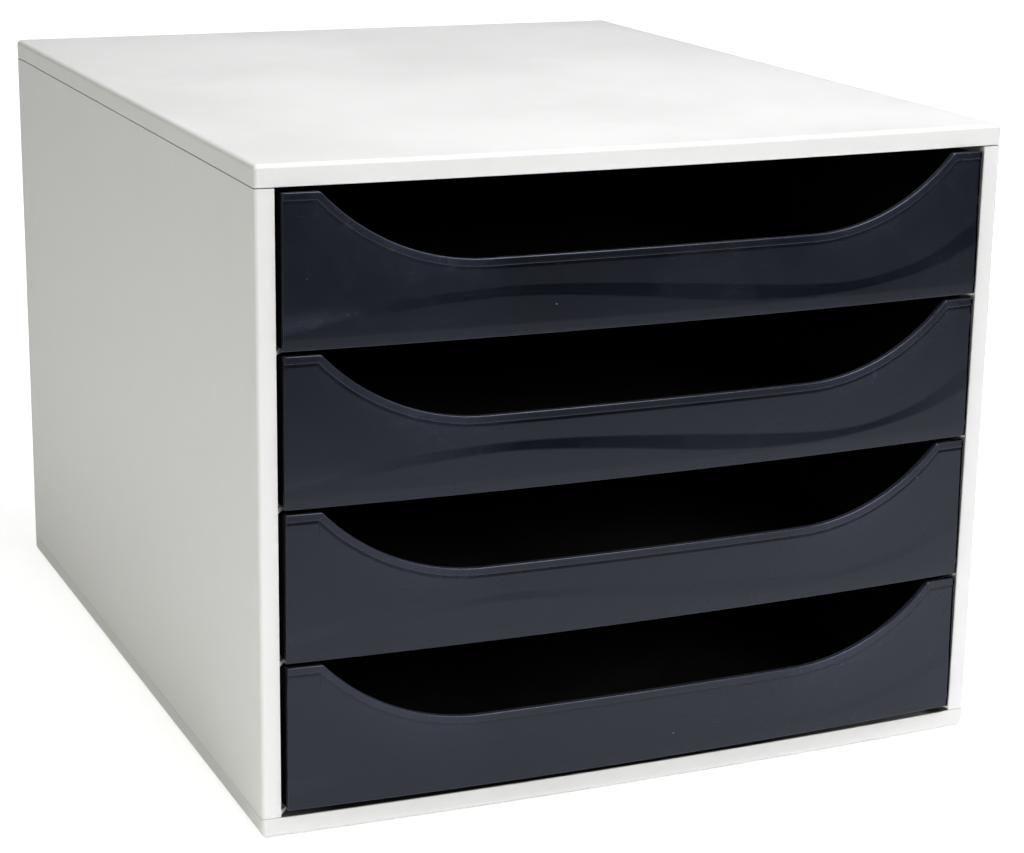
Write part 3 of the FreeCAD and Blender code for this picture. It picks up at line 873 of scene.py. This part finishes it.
@dataclass
class DrawerFront:
    """The glossy front of one drawer: finger scoop, raised rim, slanted ribbon and sloping toe.

    Lengths are in millimetres. The flat plate is drawn with its outer surface at y = 0; a node tree then
    adds the pegs, bends the plate to its bow and lifts it to its storey.
    """

    number: int
    sill_number: int = DRAWER_NUMBERS[-1]
    sill: float = 0.5
    wall: float = 2.4
    bow: float = 4.8
    scoop_depth: float = 25.45
    shoulder_width: float = 12.6
    scoop_radius: float = 80.0
    shoulder_round: float = 1.7
    rim_width: float = 2.7
    rim_middle: float = 1.5
    recess: float = 0.45
    toe_height: float = 4.0
    toe_slope: float = 0.18
    lower_round: Knots = ((0.2, 0.0), (0.03, 0.12))
    field_round: float = 0.5
    rim_round: float = 0.35
    rim_lean: float = 0.10
    rim_flat: float = 0.08
    step_round: float = 0.30
    groove: float = 0.14
    groove_width: float = 1.1
    groove_gap: float = 0.4
    side_round: float = 0.3
    side_draft: float = 0.5
    crease_reach: float = 0.45
    back_round: float = 0.2
    fade_reach: Span = (-45.0, -112.0)
    fade_share: float = 0.8
    slope_reach: Span = (45.0, 85.0)
    slopes: tuple[Span, ...] = ((1.0, 1.0), (1.0, 0.55), (0.55, 0.45), (0.75, 0.7))
    ribbon_foot: Knots = ((-133.4, 5.0), (-118.0, 8.0), (-95.0, 11.2), (-55.0, 14.0), (-15.0, 11.3),
                          (26.0, 6.6), (56.0, 5.2), (84.0, 6.5), (114.0, 11.8), (133.4, 19.2))
    ribbon_crown: Knots = ((-133.4, 13.4), (-105.0, 14.9), (-60.0, 16.9), (-28.0, 16.4), (12.0, 13.5),
                           (40.0, 10.9), (69.0, 8.9), (84.0, 9.2), (98.0, 11.5), (114.0, 16.5),
                           (133.4, 27.6))
    ribbon_haze: float = 0.75
    ribbon_haze_reach: Span = (-102.0, -122.0)
    haze_start: float = 1.2
    haze_clear: float = 1.5
    haze_over: float = 0.5
    arc_haze_reach: Span = (55.0, 90.0)
    arc_haze_inset: float = 72.0
    arc_haze_depth: float = 7.0
    lip_steps: int = 26
    arc_steps: int = 44
    round_steps: int = 8
    face_weight: int = 60

    def __post_init__(self) -> None:
        """Reads the front's place from the frame."""
        self.node = "drawer_front_%d" % self.number
        low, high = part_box(self.node)
        self.half = high.x / MM
        self.height = (high.z - low.z) / MM
        self.lift = low.z / MM
        self.apex = low.y / MM
        self.bow_radius = (self.half ** 2 + self.bow ** 2) / (2 * self.bow)

    def outline(self, drop: float, rounding: float) -> list[Point]:
        """The upper outline, or a line a given distance inside it, from the left side to the right.

        Args:
            drop: How far inside the outer outline the line runs.
            rounding: Radius of its two shoulders.

        Returns:
            (x, z) points, as many for every drop, so that two outlines match point by point.
        """
        top = self.height - drop
        lip = top - self.scoop_depth
        centre_z = self.height - self.scoop_depth + self.scoop_radius
        arc_rise = self.scoop_radius - self.scoop_depth
        tangent_x = self.half - self.shoulder_width - math.sqrt(self.scoop_radius ** 2 - arc_rise ** 2)
        reach = self.scoop_radius + drop + rounding
        shoulder_x = tangent_x + math.sqrt(reach ** 2 - (centre_z - top + rounding) ** 2)
        swing = math.atan2(shoulder_x - tangent_x, centre_z - top + rounding)
        radius = self.scoop_radius + drop
        points = [(tangent_x * i / self.lip_steps, lip) for i in range(self.lip_steps + 1)]
        for i in range(1, self.arc_steps + 1):
            turn = swing * i / self.arc_steps
            points.append((tangent_x + radius * math.sin(turn), centre_z - radius * math.cos(turn)))
        for i in range(1, self.round_steps + 1):
            turn = swing * (1 - i / self.round_steps)
            points.append((shoulder_x - rounding * math.sin(turn),
                           top - rounding + rounding * math.cos(turn)))
        flat = self.half - self.side_round - shoulder_x
        for i in range(1, self.round_steps + 1):
            points.append((shoulder_x + flat * i / self.round_steps, top))
        return [(-x, z) for x, z in points[:0:-1]] + points

    def sunk(self, x: float) -> float:
        """How far the ribbon's upper crease lies behind the lower field at a place across the front.

        Args:
            x: The place.

        Returns:
            The depth: the recess, less where the ribbon fades towards the left end and where this
            drawer's own slopes, one for the middle and one for the right, ask for less.
        """
        middle, right = self.slopes[self.number - 1]
        slope = middle + (right - middle) * eased(portion(x, *self.slope_reach))
        return self.recess * slope * (1 - self.fade_share * eased(portion(x, *self.fade_reach)))

    def relief(self, x: float) -> list[Point]:
        """The outer surface's profile from the lower edge up to the upper field.

        Args:
            x: Where the profile is taken.

        Returns:
            (depth, height) points with softened creases at the toe and on both sides of the ribbon.
        """
        foot, crown = height_along(self.ribbon_foot, x), height_along(self.ribbon_crown, x)
        sunk = self.sunk(x)
        corners = [(self.toe_slope, 0.0), (0.0, self.toe_height), (0.0, foot), (sunk, crown),
                   (sunk, self.height)]
        profile = [(self.toe_slope * 0.9, self.toe_height * 0.1),
                   (self.toe_slope / 2, self.toe_height / 2)]
        for before, corner, after in zip(corners, corners[1:], corners[2:]):
            room = (after[1] - corner[1]) / 2.5
            reach = min(self.crease_reach, (corner[1] - before[1]) / 2.5, room)
            slope_in = (corner[0] - before[0]) / (corner[1] - before[1])
            slope_out = (after[0] - corner[0]) / (after[1] - corner[1])
            for share in (-1.0, -0.5, 0.0, 0.5, 1.0):
                rise = share * reach
                line = slope_in * rise if share < 0 else slope_out * rise
                soften = (slope_out - slope_in) * reach * (1 - abs(share)) ** 2 / 4
                profile.append((corner[0] + line + soften, corner[1] + rise))
            if after is not corners[-1]:
                start, end = corner[1] + reach, after[1] - min(self.crease_reach, room)
                for share in (0.33, 0.67):
                    level = start + (end - start) * share
                    profile.append((corner[0] + slope_out * (level - corner[1]), level))
        return profile

    @staticmethod
    def quarter(steps: int) -> list[Point]:
        """Points of a quarter round of radius 1, as their distances from its two tangents.

        Args:
            steps: The number of points, at even angles from 0 to 90 degrees.

        Returns:
            (1 - cos, 1 - sin) of each angle.
        """
        turns = [math.radians(90 * i / (steps - 1)) for i in range(steps)]
        return [(1 - math.cos(turn), 1 - math.sin(turn)) for turn in turns]

    def ring(self, inner: Point, outer: Point) -> list[tuple[float, float, float, float]]:
        """The closed section of the plate at one place along its outline.

        Args:
            inner: (x, z) of the rim's inner line.
            outer: (x, z) of the outer outline.

        Returns:
            (x, y, z, edge) points from the lower front edge up, over the rim and down the back; edge is
            1 on the rounds that show wear and a painted highlight.
        """
        x, field_top = inner
        span = (outer[0] - inner[0], outer[1] - inner[1])

        def on_rim(depth: float, y: float, edge: float) -> tuple[float, float, float, float]:
            """A point that lies a given depth inside the outline."""
            share = 1 - depth / self.rim_width
            return (x + span[0] * share, y, field_top + span[1] * share, edge)

        rows = [(x, self.toe_slope + back, z, 0.4) for back, z in self.lower_round]
        rows += [(x, y, z, 0.0) for y, z in self.relief(x)]
        width, sunk, start = self.rim_width, rows[-1][1], rows[-1][2]
        end = field_top - self.groove_width - self.groove_gap
        for i in range(1, self.round_steps + 1):
            share = i / self.round_steps
            rows.append((x, sunk + (self.recess - sunk) * share, start + (end - start) * share, 0.0))
        deep = self.recess + self.groove
        hollow = ((self.groove_width + 0.1, self.recess), (self.groove_width, self.recess + 0.005),
                  (self.groove_width / 2, deep - self.groove / 2), (0.12, deep - 0.01), (0.05, deep),
                  (0.01, deep - 0.06))
        rows += [on_rim(width + below, y, 0.0) for below, y in hollow]
        rows += [on_rim(width - self.step_round * near, self.step_round * far, 0.3)
                 for near, far in self.quarter(5)]
        rows += [on_rim(self.rim_middle, self.rim_lean / 2, 0.0),
                 on_rim(self.rim_round + self.rim_flat, self.rim_lean, 0.2)]
        rows += [on_rim(self.rim_round * far, self.rim_lean + self.rim_round * near, 1.0)
                 for near, far in self.quarter(6)]
        rows += [on_rim(self.rim_round * near, self.wall - self.rim_round * far, 1.0)
                 for near, far in self.quarter(6)]
        rows += [on_rim(self.rim_middle, self.wall, 0.0), on_rim(width, self.wall, 0.0)]
        rows += [(x, self.wall, field_top * share, 0.0) for share in (0.75, 0.5, 0.25)]
        rows += [(x, self.wall, self.back_round, 0.3), (x, self.wall - self.back_round, 0.0, 0.5)]
        if self.number == self.sill_number:
            rows = [(x, y, z + self.sill * max(0.0, 1 - z / self.toe_height), edge)
                    for x, y, z, edge in rows]
        return rows

    def haze(self, x: float, z: float) -> float:
        """How much lighter, hazier tone a point of the face takes: under the two arcs, and at the
        ribbon's left end, there most on the top drawer.

        Args:
            x: The point's place across the front.
            z: Its height above the lower edge.

        Returns:
            A share from 0 to 1.
        """
        arc = portion(abs(x), *self.arc_haze_reach)
        centre_x = self.half - self.shoulder_width - self.arc_haze_inset
        centre_z = self.height - self.scoop_depth + self.scoop_radius
        away = math.hypot(max(abs(x) - centre_x, 0.0), centre_z - z) - self.scoop_radius - self.rim_width
        under_arc = arc * math.exp(-max(away, 0.0) / self.arc_haze_depth)
        foot, crown = height_along(self.ribbon_foot, x), height_along(self.ribbon_crown, x)
        faded = portion(z, crown + self.haze_over, foot + self.haze_clear)
        band = portion(z, foot, foot + self.haze_start) * faded
        left = portion(x, *self.ribbon_haze_reach)
        return max(under_arc, self.ribbon_haze / self.number * left * band)

    def plate(self) -> bpy.types.Object:
        """Builds the flat plate.

        Returns:
            An object in metres whose mesh carries the "edge" and "haze" attributes.
        """
        inner = self.outline(self.rim_width, self.field_round)
        outer = self.outline(0.0, self.shoulder_round)
        rings = [self.ring(i, o) for i, o in zip(inner, outer)]
        middle = self.wall / 2
        for side, at in ((-1, 0), (1, len(rings) - 1)):
            last = rings[at]
            ends = []
            for turn in (math.radians(30), math.radians(60), math.radians(90)):
                shift = side * self.side_round * math.sin(turn)
                pinch = 1 - self.side_round * (1 - math.cos(turn)) / middle
                ends.append([(x + shift, middle + (y - middle) * pinch, z, max(edge, 0.5))
                             for x, y, z, edge in last])
            rings = ends[::-1] + rings if side < 0 else rings + ends
        form = bmesh.new()
        worn_and_highlit, hazy = form.verts.layers.float.new("edge"), form.verts.layers.float.new("haze")
        lines = []
        for ring in rings:
            line = []
            for x, y, z, edge in ring:
                drawn_in = 1 - self.side_draft / self.half * z / self.height
                point = form.verts.new((x * drawn_in * MM, y * MM, z * MM))
                point[worn_and_highlit] = edge
                point[hazy] = self.haze(x, z)
                line.append(point)
            lines.append(line)
        count = len(lines[0])
        for left, right in zip(lines, lines[1:]):
            for i in range(count):
                j = (i + 1) % count
                form.faces.new((left[i], right[i], right[j], left[j]))
        for end in (lines[0], lines[-1][::-1]):
            form.faces.new(end)
        bmesh.ops.recalc_face_normals(form, faces=form.faces)
        return poured("front_of_drawer_%d" % self.number, form)

    def build(self, tree: "BowedFrontTree", material: bpy.types.Material) -> bpy.types.Object:
        """Builds and dresses the front.

        Args:
            tree: The node tree that adds the pegs and bends the plate.
            material: The front's finish.

        Returns:
            The finished piece.
        """
        piece = self.plate()
        tree.apply(piece, material, apex=self.apex, radius=self.bow_radius, lift=self.lift,
                   half=self.half)
        weighted = piece.modifiers.new("weighted_normals", "WEIGHTED_NORMAL")
        weighted.weight = self.face_weight
        return dress(settled(piece), material, Slot.FRONT, Body.DRAWER.value % self.number, self.node)


@dataclass
class BowedFrontTree:
    """A geometry node tree that sets a row of pegs on a flat front, bends it to its bow and lifts it.

    Lengths are in millimetres. The bow is an arc in plan: a point at x moves back by the arc's drop
    there.
    """

    peg_count: int = 4
    peg_radius: float = 2.5
    peg_length: float = 1.6
    peg_inset: float = 20.0
    peg_height: float = 20.0
    wall: float = 2.4
    sunk: float = 0.3

    def __post_init__(self) -> None:
        """Builds the tree."""
        self.tree = bpy.data.node_groups.new("bowed_front", "GeometryNodeTree")
        self.inputs: dict[str, str] = {}
        self._socket("Plate", "NodeSocketGeometry")
        for label in ("Apex", "Bow Radius", "Lift", "Half Width", "Peg Radius", "Peg Length", "Peg Inset",
                      "Peg Height", "Peg Start"):
            self._socket(label, "NodeSocketFloat")
        self._socket("Peg Count", "NodeSocketInt")
        self._socket("Finish", "NodeSocketMaterial")
        self.tree.interface.new_socket(name="Front", in_out="OUTPUT", socket_type="NodeSocketGeometry")
        bench = NodeBench(self.tree)
        source = bench.add("NodeGroupInput").outputs
        both = bench.add("GeometryNodeJoinGeometry")
        self.tree.links.new(source["Plate"], both.inputs[0])
        self.tree.links.new(self._pegs(bench, source), both.inputs[0])
        bent = self._bend(bench, source, both.outputs[0])
        real = bench.add("GeometryNodeRealizeInstances", {0: bent}).outputs[0]
        done = bench.add("GeometryNodeSetMaterial", {"Geometry": real, "Material": source["Finish"]})
        bench.add("NodeGroupOutput", {0: done.outputs[0]})

    def _socket(self, label: str, kind: str) -> None:
        """Adds a named input and keeps its identifier."""
        socket = self.tree.interface.new_socket(name=label, in_out="INPUT", socket_type=kind)
        self.inputs[label] = socket.identifier

    @staticmethod
    def _pegs(bench: NodeBench, source: bpy.types.NodeOutputs) -> bpy.types.NodeSocket:
        """Sets the pegs along a line behind the plate.

        Args:
            bench: The tree's bench.
            source: The tree's inputs.

        Returns:
            The realised pegs' socket.
        """
        outer = bench.math("SUBTRACT", source["Half Width"], source["Peg Inset"])
        depth = bench.math("MULTIPLY_ADD", source["Peg Length"], 0.5, source["Peg Start"])
        first = bench.add("ShaderNodeCombineXYZ", {0: bench.math("MULTIPLY", outer, -1.0), 1: depth,
                                                   2: source["Peg Height"]}).outputs[0]
        last = bench.add("ShaderNodeCombineXYZ", {0: outer, 1: depth, 2: source["Peg Height"]}).outputs[0]
        line = bench.add("GeometryNodeMeshLine", {"Count": source["Peg Count"], "Start Location": first,
                                                  "Offset": last}, mode="END_POINTS").outputs[0]
        peg = bench.add("GeometryNodeMeshCylinder", {"Vertices": PEG_SIDES,
                                                     "Radius": source["Peg Radius"],
                                                     "Depth": source["Peg Length"]}).outputs[0]
        lying = bench.add("FunctionNodeEulerToRotation", {0: (math.pi / 2, 0.0, 0.0)}).outputs[0]
        row = bench.add("GeometryNodeInstanceOnPoints", {"Points": line, "Instance": peg,
                                                         "Rotation": lying})
        return bench.add("GeometryNodeRealizeInstances", {0: row.outputs[0]}).outputs[0]

    @staticmethod
    def _bend(bench: NodeBench, source: bpy.types.NodeOutputs, geometry: bpy.types.NodeSocket
              ) -> bpy.types.NodeSocket:
        """Moves every point back by the bow's drop at its x, and to the front's apex and storey.

        Args:
            bench: The tree's bench.
            source: The tree's inputs.
            geometry: The flat plate with its pegs.

        Returns:
            The bent geometry's socket.
        """
        position = bench.add("GeometryNodeInputPosition").outputs[0]
        place = bench.add("ShaderNodeSeparateXYZ", {0: position}).outputs
        squared = bench.math("POWER", source["Bow Radius"], 2.0)
        chord = bench.math("SQRT", bench.math("SUBTRACT", squared, bench.math("POWER", place[0], 2.0)))
        drop = bench.math("SUBTRACT", source["Bow Radius"], chord)
        back = bench.math("ADD", bench.math("ADD", place[1], drop), source["Apex"])
        up = bench.math("ADD", place[2], source["Lift"])
        moved = bench.add("ShaderNodeCombineXYZ", {0: place[0], 1: back, 2: up}).outputs[0]
        return bench.add("GeometryNodeSetPosition", {"Geometry": geometry, "Position": moved}).outputs[0]

    def apply(self, piece: bpy.types.Object, material: bpy.types.Material, apex: float, radius: float,
              lift: float, half: float) -> None:
        """Puts the tree on a flat front.

        Args:
            piece: The flat front.
            material: Its finish.
            apex: Where the bow's foremost line lies along Y, in millimetres.
            radius: Radius of the bow in plan.
            lift: Height of the front's lower edge.
            half: Half the front's width.
        """
        values = {"Apex": apex, "Bow Radius": radius, "Lift": lift, "Half Width": half,
                  "Peg Radius": self.peg_radius, "Peg Length": self.peg_length + self.sunk,
                  "Peg Inset": self.peg_inset, "Peg Height": self.peg_height,
                  "Peg Start": self.wall - self.sunk}
        modifier = piece.modifiers.new("bowed_front", "NODES")
        modifier.node_group = self.tree
        for label, value in values.items():
            modifier[self.inputs[label]] = value * MM
        modifier[self.inputs["Peg Count"]] = self.peg_count
        modifier[self.inputs["Finish"]] = material


# ---- Sub-assemblies -------------------------------------------------------------------------------
@dataclass
class Casing:
    """The white casing: cover, base, two side walls and the rear wall."""

    finish: SatinCasing = field(default_factory=SatinCasing)
    nodes: tuple[str, ...] = ("top_cover", "base_tray", "left_side_panel", "right_side_panel",
                              "rear_panel")
    kinds: dict[str, type[MouldedCopy]] = field(default_factory=lambda: {
        "base_tray": BaseCopy, "left_side_panel": SidePanelCopy, "right_side_panel": SidePanelCopy})

    def build(self, effects: Effects) -> list[bpy.types.Object]:
        """Builds and dresses the casing's pieces.

        Args:
            effects: The shared effect groups.

        Returns:
            The pieces.
        """
        low = Vector(map(min, *(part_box(node)[0] for node in self.nodes)))
        high = Vector(map(max, *(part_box(node)[1] for node in self.nodes)))
        material = self.finish.material(effects, low, high)
        pieces = []
        for node in self.nodes:
            kind = self.kinds.get(node, MouldedCopy)
            piece = kind(node, "finished_" + node).build()
            pieces.append(dress(piece, material, Slot.CASING, Body.CASE.value, node))
        return pieces


@dataclass
class FootSet:
    """The four rubber feet: one turned pad with grip rings, set out at the corners by a node tree."""

    finish: FootRubber = field(default_factory=FootRubber)
    nodes: tuple[str, ...] = ("foot_front_left", "foot_front_right", "foot_rear_left", "foot_rear_right")
    chamfer: float = 0.4
    top_chamfer: float = 0.15
    ring_radii: tuple[float, ...] = (2.0, 3.6, 5.2)
    ring_width: float = 0.35
    ring_depth: float = 0.25
    steps: int = 40

    def pad(self) -> bpy.types.Object:
        """Turns one pad about its own axis, standing on z = 0 at the origin.

        Returns:
            The pad's object.
        """
        low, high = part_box(self.nodes[0])
        radius = (high.x - low.x) / 2 / MM
        height = (high.z - low.z) / MM
        profile = [(0.0, 0.0)]
        for ring in self.ring_radii:
            profile += [(ring - self.ring_width, 0.0), (ring - self.ring_width / 2, self.ring_depth),
                        (ring + self.ring_width / 2, self.ring_depth), (ring + self.ring_width, 0.0)]
        profile += [(radius - self.chamfer, 0.0), (radius - self.chamfer / 4, self.chamfer / 4),
                    (radius, self.chamfer), (radius, height - self.top_chamfer),
                    (radius - self.top_chamfer, height), (0.0, height)]
        form = bmesh.new()
        lines = []
        for r, z in profile:
            turns = 1 if r == 0 else self.steps
            lines.append([form.verts.new((r * MM * math.cos(2 * math.pi * i / self.steps),
                                          r * MM * math.sin(2 * math.pi * i / self.steps), z * MM))
                          for i in range(turns)])
        for lower, upper in zip(lines, lines[1:]):
            for i in range(self.steps):
                j = (i + 1) % self.steps
                corners = [lower[i % len(lower)], lower[j % len(lower)], upper[j % len(upper)],
                           upper[i % len(upper)]]
                form.faces.new(list(dict.fromkeys(corners)))
        bmesh.ops.recalc_face_normals(form, faces=form.faces)
        return poured("foot_pad", form)

    def row_tree(self) -> tuple[bpy.types.NodeTree, dict[str, str]]:
        """Builds the tree that sets the pads out at the corners of a rectangle.

        Returns:
            The tree, and the identifier of each of its inputs by name.
        """
        tree = bpy.data.node_groups.new("feet_at_corners", "GeometryNodeTree")
        kinds = {"Pad": "NodeSocketObject", "Span X": "NodeSocketFloat", "Span Y": "NodeSocketFloat",
                 "Middle": "NodeSocketVector", "Finish": "NodeSocketMaterial"}
        tree.interface.new_socket(name="Start", in_out="INPUT", socket_type="NodeSocketGeometry")
        names = {label: tree.interface.new_socket(name=label, in_out="INPUT", socket_type=kind).identifier
                 for label, kind in kinds.items()}
        tree.interface.new_socket(name="Feet", in_out="OUTPUT", socket_type="NodeSocketGeometry")
        bench = NodeBench(tree)
        source = bench.add("NodeGroupInput").outputs
        corners = bench.add("GeometryNodeMeshGrid", {"Size X": source["Span X"], "Vertices X": 2,
                                                     "Size Y": source["Span Y"],
                                                     "Vertices Y": 2}).outputs[0]
        placed = bench.add("GeometryNodeSetPosition", {"Geometry": corners, "Offset": source["Middle"]})
        pad = bench.add("GeometryNodeObjectInfo", {"Object": source["Pad"]}).outputs["Geometry"]
        row = bench.add("GeometryNodeInstanceOnPoints", {"Points": placed.outputs[0], "Instance": pad})
        real = bench.add("GeometryNodeRealizeInstances", {0: row.outputs[0]}).outputs[0]
        done = bench.add("GeometryNodeSetMaterial", {"Geometry": real, "Material": source["Finish"]})
        bench.add("NodeGroupOutput", {0: done.outputs[0]})
        return tree, names

    def build(self, effects: Effects) -> bpy.types.Object:
        """Builds and dresses the feet as one piece.

        Args:
            effects: The shared effect groups.

        Returns:
            The piece.
        """
        material = self.finish.material(effects)
        pad = self.pad()
        middles = [sum(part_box(node), Vector()) / 2 for node in self.nodes]
        centre = sum(middles, Vector()) / len(middles)
        span = middles[-1] - middles[0]
        tree, names = self.row_tree()
        piece = new_object("rubber_feet", bpy.data.meshes.new("rubber_feet"))
        modifier = piece.modifiers.new("feet_at_corners", "NODES")
        modifier.node_group = tree
        modifier[names["Pad"]] = pad
        modifier[names["Span X"]] = span.x
        modifier[names["Span Y"]] = span.y
        modifier[names["Middle"]] = (centre.x, centre.y, 0.0)
        modifier[names["Finish"]] = material
        piece.modifiers.new("weighted_normals", "WEIGHTED_NORMAL")
        settled(piece)
        bpy.data.objects.remove(pad)
        return dress(piece, material, Slot.FOOT, Body.CASE.value, *self.nodes)


@dataclass
class DrawerSet:
    """The four drawers, each a black tray with a glossy front."""

    front_finish: GlossFront = field(default_factory=GlossFront)
    tray_finish: MatteTray = field(default_factory=MatteTray)

    def build(self, effects: Effects) -> list[bpy.types.Object]:
        """Builds and dresses the drawers' pieces.

        Args:
            effects: The shared effect groups.

        Returns:
            The pieces, a tray and a front for each drawer from the top down.
        """
        gloss = self.front_finish.material(effects)
        matte = self.tray_finish.material(effects)
        tree = BowedFrontTree()
        pieces = []
        for number in DRAWER_NUMBERS:
            node = "drawer_tray_%d" % number
            tray = MouldedCopy(node, "tray_of_drawer_%d" % number, edge_round=0.25 * MM).build()
            pieces.append(dress(tray, matte, Slot.TRAY, Body.DRAWER.value % number, node))
            pieces.append(DrawerFront(number).build(tree, gloss))
        return pieces


# ---- Studio ---------------------------------------------------------------------------------------
@dataclass(frozen=True)
class SoftBox:
    """One soft rectangular light."""

    name: str
    place: tuple[float, float, float]
    aim: tuple[float, float, float]
    size: tuple[float, float]
    power: float
    spread: float = 180.0
    tint: tuple[float, float, float] = (1.0, 1.0, 1.0)

    def build(self) -> None:
        """Hangs the light and turns it to its aim."""
        lamp = bpy.data.lights.new(self.name, "AREA")
        lamp.color = self.tint
        lamp.shape = "RECTANGLE"
        lamp.size, lamp.size_y = self.size
        lamp.energy = self.power
        lamp.spread = math.radians(self.spread)
        holder = bpy.data.objects.new(self.name, lamp)
        holder.location = self.place
        sight = Vector(self.aim) - Vector(self.place)
        holder.rotation_euler = sight.to_track_quat("-Z", "Y").to_euler()
        bpy.context.scene.collection.objects.link(holder)


@dataclass
class Studio:
    """Floor, lights, surroundings and camera."""

    floor_half: float = 9.0
    boxes: tuple[SoftBox, ...] = (
        SoftBox("key_light", (0.25, -0.55, 1.35), (0.05, -0.1, 0.2), (0.7, 0.5), 5.1, 120.0),
        SoftBox("far_light", (0.90, -2.30, 1.35), (0.0, -0.05, 0.1), (1.0, 1.0), 4.0, 60.0),
        SoftBox("left_light", (-1.60, -0.80, 0.80), (0.0, -0.05, 0.1), (0.9, 0.9), 2.4, 90.0,
                (1.0, 0.98, 0.85)),
        SoftBox("right_light", (0.55, -0.30, 1.0), (0.05, -0.05, 0.2), (0.6, 0.6), 0.7, 120.0),
        SoftBox("top_light", (0.10, -0.05, 1.25), (0.08, -0.05, 0.2), (0.6, 0.6), 0.5, 120.0),
        SoftBox("overhead_light", (0.0, 0.3, 2.2), (0.0, 0.3, 0.0), (2.0, 2.0), 16.3),
        SoftBox("floor_wash", (0.3, 2.9, 1.5), (0.3, 2.9, 0.0), (7.0, 1.6), 20.0, 120.0),
    )
    room: Colour = (0.0128, 0.0128, 0.0128, 1.0)
    seen: Colour = (1.0, 1.0, 1.0, 1.0)
    eye: tuple[float, float, float] = (-0.38547, -0.93816, 0.37387)
    turn: tuple[float, float, float] = (1.29651, -0.01701, -0.41517)
    lens: float = 89.23
    shift: tuple[float, float] = (-0.02486, 0.00627)

    def floor(self, effects: Effects) -> None:
        """Lays the pale floor.

        Args:
            effects: The shared effect groups.
        """
        form = bmesh.new()
        bmesh.ops.create_grid(form, x_segments=2, y_segments=2, size=self.floor_half)
        floor = poured("studio_floor", form)
        floor.data.materials.append(StudioPaper().material(effects))

    def surroundings(self) -> None:
        """Sets the room's even light, with a plain white behind everything that the camera sees."""
        scene = bpy.context.scene
        scene.view_settings.view_transform = "Standard"
        scene.world = bpy.data.worlds.new("studio_room")
        scene.world.use_nodes = True
        tree = scene.world.node_tree
        tree.nodes.clear()
        bench = NodeBench(tree)
        seen = bench.add("ShaderNodeLightPath").outputs["Is Camera Ray"]
        tone = bench.blend(seen, self.room, self.seen)
        light = bench.add("ShaderNodeBackground", {"Color": tone})
        bench.add("ShaderNodeOutputWorld", {"Surface": light.outputs[0]})

    def camera(self) -> None:
        """Sets up the camera."""
        lens = bpy.data.cameras.new("view_camera")
        lens.lens = self.lens
        lens.shift_x, lens.shift_y = self.shift
        holder = bpy.data.objects.new("view_camera", lens)
        holder.location = self.eye
        holder.rotation_euler = Euler(self.turn, "XYZ")
        bpy.context.scene.collection.objects.link(holder)
        bpy.context.scene.camera = holder

    def build(self, effects: Effects) -> None:
        """Builds the whole studio.

        Args:
            effects: The shared effect groups.
        """
        self.floor(effects)
        self.surroundings()
        self.camera()
        for box in self.boxes:
            box.build()


def write_sizes() -> None:
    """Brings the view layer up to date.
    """
    bpy.context.view_layer.update()


def main() -> None:
    """Builds the studio and the object's sub-assemblies in order."""
    logging.basicConfig(level=logging.INFO, format="%(message)s")
    bpy.context.view_layer.update()
    effects = Effects()
    Studio().build(effects)
    Casing().build(effects)
    FootSet().build(effects)
    DrawerSet().build(effects)
    write_sizes()


if __name__ == "__main__":
    main()
